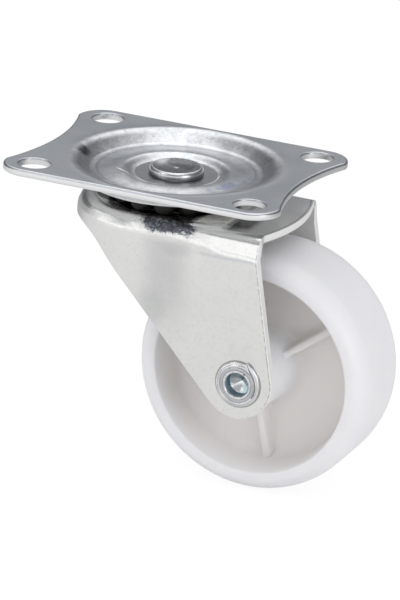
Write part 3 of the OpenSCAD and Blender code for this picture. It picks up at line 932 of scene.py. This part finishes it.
def rib_mesh():
    """One rib along x, which falls and widens from hub to rim, with a fillet at its foot."""
    foot, half, fillet = 1.3, 0.70, 1.2
    start, end, stations = 6.9, 20.6, 28
    points, faces = [], []
    for i in range(stations + 1):
        share = i / stations
        u = start + (end - start) * share
        w = half + 0.25 * max(0.0, 1 - (u - 7.1) / 1.8) ** 2 + 0.30 * share
        past = max(0, u - POCKET_R)
        line = 6.5 - 4.0 * share
        corner = POCKET_Y - math.sqrt(max(0, FILLET_R ** 2 - past ** 2))
        top = (line + corner + math.sqrt((line - corner) ** 2 + 0.4)) / 2
        side = [(w + fillet + 0.2, foot - 0.3)]
        side += [(w + fillet - fillet * math.sin(a), foot + fillet - fillet * math.cos(a))
                 for a in (math.pi / 2 * k / 6 for k in range(7))]
        side += [(w - 0.06, top - 0.5), (w - 0.18, top - 0.2), (w - 0.42, top)]
        row = side + [(-y, z) for y, z in reversed(side)]
        points += [(u, y, z) for y, z in row]
    n = len(row)
    for i in range(stations):
        for j in range(n):
            k = (j + 1) % n
            faces.append((i * n + j, i * n + k, (i + 1) * n + k, (i + 1) * n + j))
    faces += [tuple(range(n)), tuple(range(stations * n, (stations + 1) * n))]
    return new_mesh("rib", points, faces)


def rib_recipe():
    """Sets a rib round the axis at even angles, and again on the other side of the web."""
    r = Recipe("wheel_ribs", [
        ("Ribs", "Int", 3), ("First angle", "Float", 0.0), ("Place", "Vector", (0, 0, 0)),
        ("Tilt", "Vector", (0, 0, 0)), ("Finish", "Material", None),
    ])
    spots = r.add("GeometryNodePoints", None, {"Count": r.given("Ribs")})
    number = r.add("GeometryNodeInputIndex")
    share = r.add("ShaderNodeMath", {"operation": "DIVIDE"}, {0: 2 * math.pi, 1: r.given("Ribs")})
    angle = r.add(
        "ShaderNodeMath", {"operation": "MULTIPLY_ADD"},
        {0: number, 1: share, 2: r.given("First angle")},
    )
    turn = r.add("ShaderNodeCombineXYZ", None, {"Z": angle})
    ribs = r.add(
        "GeometryNodeInstanceOnPoints", None,
        {"Points": spots, "Instance": r.given("Geometry"), "Rotation": turn},
    )
    near = r.add("GeometryNodeRealizeInstances", None, {"Geometry": ribs})
    mirrored = r.add("GeometryNodeTransform", None, {"Geometry": near, "Scale": (1, 1, -1)})
    far = r.add("GeometryNodeFlipFaces", None, {0: mirrored})
    both = r.add("GeometryNodeJoinGeometry")
    join = both.node
    r.tree.links.new(near, join.inputs[0])
    r.tree.links.new(far, join.inputs[0])
    smooth = r.add("GeometryNodeSetShadeSmooth", None, {"Geometry": both})
    placed = r.add(
        "GeometryNodeTransform", None,
        {"Geometry": smooth, "Translation": r.given("Place"), "Rotation": r.given("Tilt")},
    )
    r.finish(placed, "Finish")
    return r


def plastic():
    """Polypropylene with a faint mould grain and a grey film from use."""
    f = Finish("wheel_plastic")
    x, _, z = f.axes(axle_place)
    cloud, fine = f.grain(70, 3, 0.55), f.grain(1800, 2, 0.6)
    # painted shade: the web between hub and rim is warmer and darker
    recess_shade = span(x, z).band(0.0078, 0.0205, 0.0006)
    colour = f.coats(
        f.mix(cloud.step(0.4, 0.75) * 0.5, (0.83, 0.83, 0.85), (0.80, 0.79, 0.81)),
        (recess_shade * 0.6, (0.80, 0.77, 0.73)),
    )
    return f.shade(
        Base_Color=colour, Roughness=0.34 + 0.12 * cloud, IOR=1.49,
        Normal=f.bump(fine * 0.4 + cloud, 0.00003, 0.4),
        Subsurface_Weight=0.5, Subsurface_Radius=(1.0, 0.9, 0.8), Subsurface_Scale=0.003,
    )


near_side = wheel_side()
moulding = half_section(near_side + [(r, -y) for r, y in reversed(near_side)])
axle_place = (AXLE_X * MM, 0, AXLE_Z * MM)
on_axle = (-math.pi / 2, 0, 0)
plastic_finish = plastic()
wheel = turned.make(
    "wheel_moulding", moulding, Segments=160, Place=axle_place, Tilt=on_axle, Finish=plastic_finish
)
ribs = rib_recipe().make(
    "wheel_ribs", rib_mesh(), Ribs=3, First_angle=math.radians(-35.5),
    Place=axle_place, Tilt=on_axle, Finish=plastic_finish,
)
outward(wheel.data)
outward(ribs.data)
wheel.data = worked("wheel_moulding", wheel.data, [
    boolean("UNION", ribs.data),
])
bpy.data.objects.remove(ribs)
wheel.data.set_sharp_from_angle(angle=math.radians(40))
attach(wheel, "wheel")
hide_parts("wheel")


# ---------------------------------------------------------------- axle
# A semi-tubular steel rivet. Its head is on the far leg, and its hollow end is rolled
# over on the near leg, which leaves nested rings, a drilled hole and one curled burr.

def axle_section():
    """(radius, y) from the hole's bottom over the clinched end and along to the head."""
    leg, head_r = FORK_Y, 5.2
    hole = [(0.02, -13.3), (0.2, -13.36), (2.45, -14.1), (2.5, -14.25), (2.5, -16.1)]
    lip = [(2.55, -16.35), (2.68, -16.50), (2.86, -16.52), (3.00, -16.44), (3.10, -16.38),
           (3.25, -16.42), (3.45, -16.44), (3.65, -16.40), (3.74, -16.32), (3.84, -16.36),
           (4.00, -16.42), (4.15, -16.36), (4.24, -16.24), (4.32, -16.22), (4.46, -16.22),
           (4.60, -16.12), (4.70, -15.98), (4.68, -15.86), (4.56, -leg)]
    shank = [(AXLE_R, -leg), (AXLE_R, leg), (head_r, leg), (head_r, leg + 0.5)]
    dome = [(head_r * math.cos(a), leg + 0.6 + 1.1 * math.sin(a))
            for a in (math.pi / 2 * i / 12 for i in range(1, 12))]
    return hole + lip + shank + dome + [(0.02, leg + 1.7)]


def burr(mesh):
    """Pulls the rolled edge out into one small curl, up and to the right."""
    inner_r, burr_turn, burr_l = 3.95, 68, 0.60
    for vertex in mesh.vertices:
        x, y, z = (c / MM for c in vertex.co)
        x, z = x - AXLE_X, z - AXLE_Z
        r = math.hypot(x, z)
        if y > -FORK_Y + 0.05 or r < inner_r:
            continue
        turn = (math.degrees(math.atan2(z, x)) - burr_turn + 180) % 360 - 180
        pull = math.exp(-(turn / 4) ** 2) if turn > 0 else max(0, 1 + turn / 70) ** 1.6
        pull *= burr_l * min(1, (r - inner_r) / 0.6)
        wave = 0.03 * math.sin(3 * math.radians(turn))
        wave += 0.02 * math.sin(7 * math.radians(turn) + 1)
        scale = (r + pull + wave * (r - inner_r)) / r
        vertex.co.x, vertex.co.z = (AXLE_X + x * scale) * MM, (AXLE_Z + z * scale) * MM
        vertex.co.y -= 0.1 * pull * MM


def axle_zinc():
    """Zinc scraped grey where the end was rolled over; the drilled cone carries a painted
    highlight in its lower sector and painted shade in two others.
    """
    f = Finish("axle_zinc")
    x, y, z = f.axes(axle_place)
    radius, angle = span(x, z), z.math("ARCTAN2", z, x)
    fine, cloud = f.grain(2600, 3, 0.75), f.grain(500, 4, 0.7)
    rolled = 1 - y.step(-0.0165, -0.0156)
    curl = (angle - 1.19) * 4.4
    spiral = curl.math("EXPONENT", curl) * 0.00110 + 0.00396
    tail = (radius - spiral).band(-0.00012, 0.00012, 0.00004) * angle.band(-0.6, 1.20, 0.05)
    nick = (x - 0.0015).band(-0.00018, 0.00018, 0.00008)
    nick = nick * (z - 0.00256).band(-0.00018, 0.00018, 0.00008)
    seams = radius.band(0.00302, 0.00316, 0.00005) + radius.band(0.00370, 0.00380, 0.00005)
    seams = seams + radius.band(0.00424, 0.00434, 0.00005)
    seams = seams + (y + 0.01565).band(-0.0002, 0.0002, 0.0001)
    flat = radius.band(0.00312, 0.00372, 0.00004)
    bore = radius.band(0.00244, 0.00262, 0.00003) * y.band(-0.0160, -0.0139, 0.0002)
    cone = (1 - radius.step(0.00243, 0.00246)) * y.band(-0.0142, -0.0120, 0.0001)
    lit = angle.band(-2.58, -0.55, 0.05)
    middle = 1 - radius.step(0.0008, 0.0016)
    colour = f.coats(
        f.mix(cloud.step(0.40, 0.62), (0.76, 0.76, 0.77), (0.62, 0.63, 0.66)),
        (rolled * flat * 0.7, (0.42, 0.43, 0.46)),
        ((rolled * fine).step(0.50, 0.62) * 0.35, (0.30, 0.31, 0.33)),
        (rolled * seams.clamp() * 0.7, (0.20, 0.20, 0.20)),
        ((tail + nick).clamp() * rolled * 0.85, (0.07, 0.07, 0.07)),
        (bore * 0.85, (0.27, 0.40, 0.46)),
        # painted highlight on the cone's lower sector, painted shade on its left and upper sectors
        (cone, f.mix(lit, (0.50, 0.52, 0.53), (0.97, 0.98, 0.99))),
        (cone * angle.band(-3.1, -2.62, 0.15) * 0.5, (0.20, 0.22, 0.23)),
        (cone * angle.band(0.9, 1.9, 0.15) * middle * 0.7, (0.14, 0.22, 0.27)),
    )
    return f.shade(
        Base_Color=colour, Metallic=1 - 0.25 * cone, Roughness=0.20 + 0.14 * cloud,
        Normal=f.bump((fine * 0.6 + cloud) * (1 - cone), 0.00005, 0.7),
    )


axle = turned.make(
    "axle_rivet", half_section(axle_section()), Segments=144,
    Place=axle_place, Tilt=on_axle, Finish=axle_zinc(),
)
outward(axle.data)
burr(axle.data)
axle.data.set_sharp_from_angle(angle=math.radians(60))
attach(axle, "fork")
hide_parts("axle")


# ---------------------------------------------------------------- studio
# A product shot on white: a lit sweep that fades to white, a soft key from the upper
# left, and a world that the bright zinc mirrors as white and grey cards.

def rays(f):
    """Whether a ray comes from the camera, and whether a bright surface mirrors it."""
    return f.outputs(f.node("ShaderNodeLightPath"), "Is Camera Ray", "Is Glossy Ray")


def floor_finish():
    """Pale card. The camera sees it evenly lit, the metal sees it darker behind the castor."""
    f = Finish("sweep")
    _, y, _ = f.axes()
    seen, mirrored = rays(f)
    card = f.node("ShaderNodeBsdfDiffuse", None, {"Color": (0.9, 0.9, 0.9, 1)})
    tone = f.coats(
        (0.88, 0.88, 0.875),
        ((0 - y).step(0.17, 0.42), (1.30, 1.30, 1.30)),
        (y.step(0.0, 0.09), (0.46, 0.46, 0.46)),
    )
    tone = f.mix(mirrored, (1.04, 1.04, 1.04), tone)
    light = f.node("ShaderNodeEmission", None, {"Color": tone, "Strength": 1.0})
    share = (seen + mirrored).clamp() * 0.88
    blend = f.node("ShaderNodeMixShader", None, {0: share, 1: card, 2: light})
    f.node("ShaderNodeOutputMaterial", None, {"Surface": blend})
    return f.owner


def room_light(world):
    """Even white light, and the cards that the metal mirrors, each named for its place."""
    f = Finish("white_room", world)
    aim = f.outputs(f.point, "Generated")[0]
    x, y, z = f.outputs(f.node("ShaderNodeSeparateXYZ", None, {"Vector": aim}))
    side = x * 0.922 + y * 0.386
    wide = side * side
    low_back = (x * 0.25 + y).step(0.55, 0.95) * (1 - z.step(0.10, 0.30))
    flank = wide.step(0.03, 0.20) * (1 - z.step(0.50, 0.62))
    overhead = (1 - wide.step(0.20, 0.45)) * z.step(0.58, 0.72)
    panel = side.band(-0.30, 0.30, 0.12) * z.step(0.43, 0.56)
    ahead = (0 - y).step(-0.1, 0.4) * (1 - z.step(0.30, 0.42))
    flag = (0 - y).step(0.16, 0.40) * z.band(0.42, 0.88, 0.07)
    cards = f.coats(
        (0.27, 0.28, 0.30),
        (low_back, (0.18, 0.18, 0.19)),
        (flank, (0.17, 0.17, 0.18)),
        (overhead, (0.62, 0.62, 0.63)),
        (panel, (1.8, 1.8, 1.8)),
        (ahead, (1.30, 1.30, 1.30)),
        (flag, (0.34, 0.35, 0.37)),
    )
    seen, mirrored = rays(f)
    light = f.mix(seen, f.mix(mirrored, (0.84, 0.84, 0.85), cards), (1, 1, 1))
    sky = f.node("ShaderNodeBackground", None, {"Color": light, "Strength": 1.0})
    f.node("ShaderNodeOutputWorld", None, {"Surface": sky})


reach, ground = 6.0, -0.0637
sweep = bpy.data.meshes.new("sweep")
sweep.from_pydata(
    [(x * reach, y * reach, ground) for x, y in ((-1, -1), (1, -1), (1, 1), (-1, 1))],
    [], [(0, 1, 2, 3)],
)
floor = put("sweep", sweep)
sweep.materials.append(floor_finish())
world = bpy.data.worlds.new("white_room")
bpy.context.scene.world = world
room_light(world)


def lamp(name, place, target, width, height, power):
    """A soft box of width by height metres at place, aimed at target."""
    data = bpy.data.lights.new(name, "AREA")
    data.shape, data.size, data.size_y, data.energy = "RECTANGLE", width, height, power
    made = put(name, data)
    made.location = place
    made.rotation_euler = (Vector(target) - Vector(place)).to_track_quat("-Z", "Y").to_euler()
    return made


middle = (0.01, 0, -0.03)
lamps = [
    lamp("key", (-0.45, -0.45, 0.60), middle, 0.35, 0.35, 0.8),
    lamp("fill", (0.75, -0.35, 0.25), middle, 0.4, 0.5, 1.1),
]


# ---------------------------------------------------------------- camera
# The photograph was taken from well back and above, with a long lens and a small tilt.

AZIMUTH, ELEVATION, ROLL = (math.radians(a) for a in (22.7238, 20.049, 3.268))
right = Vector((math.cos(AZIMUTH), math.sin(AZIMUTH), 0))
back = Vector((
    math.sin(AZIMUTH) * math.cos(ELEVATION),
    -math.cos(AZIMUTH) * math.cos(ELEVATION),
    math.sin(ELEVATION),
))
up = back.cross(right)
rolled = right * math.cos(ROLL) + up * math.sin(ROLL)
upright = up * math.cos(ROLL) - right * math.sin(ROLL)
camera = put("camera", bpy.data.cameras.new("camera"))
camera.matrix_world = Matrix.Translation((0.33951, -0.79447, 0.28554)) @ Matrix(
    (rolled, upright, back)
).transposed().to_4x4()
camera.data.lens = 270.24
camera.data.sensor_width = 36
bpy.context.scene.camera = camera
bpy.context.scene.view_settings.view_transform = "Standard"
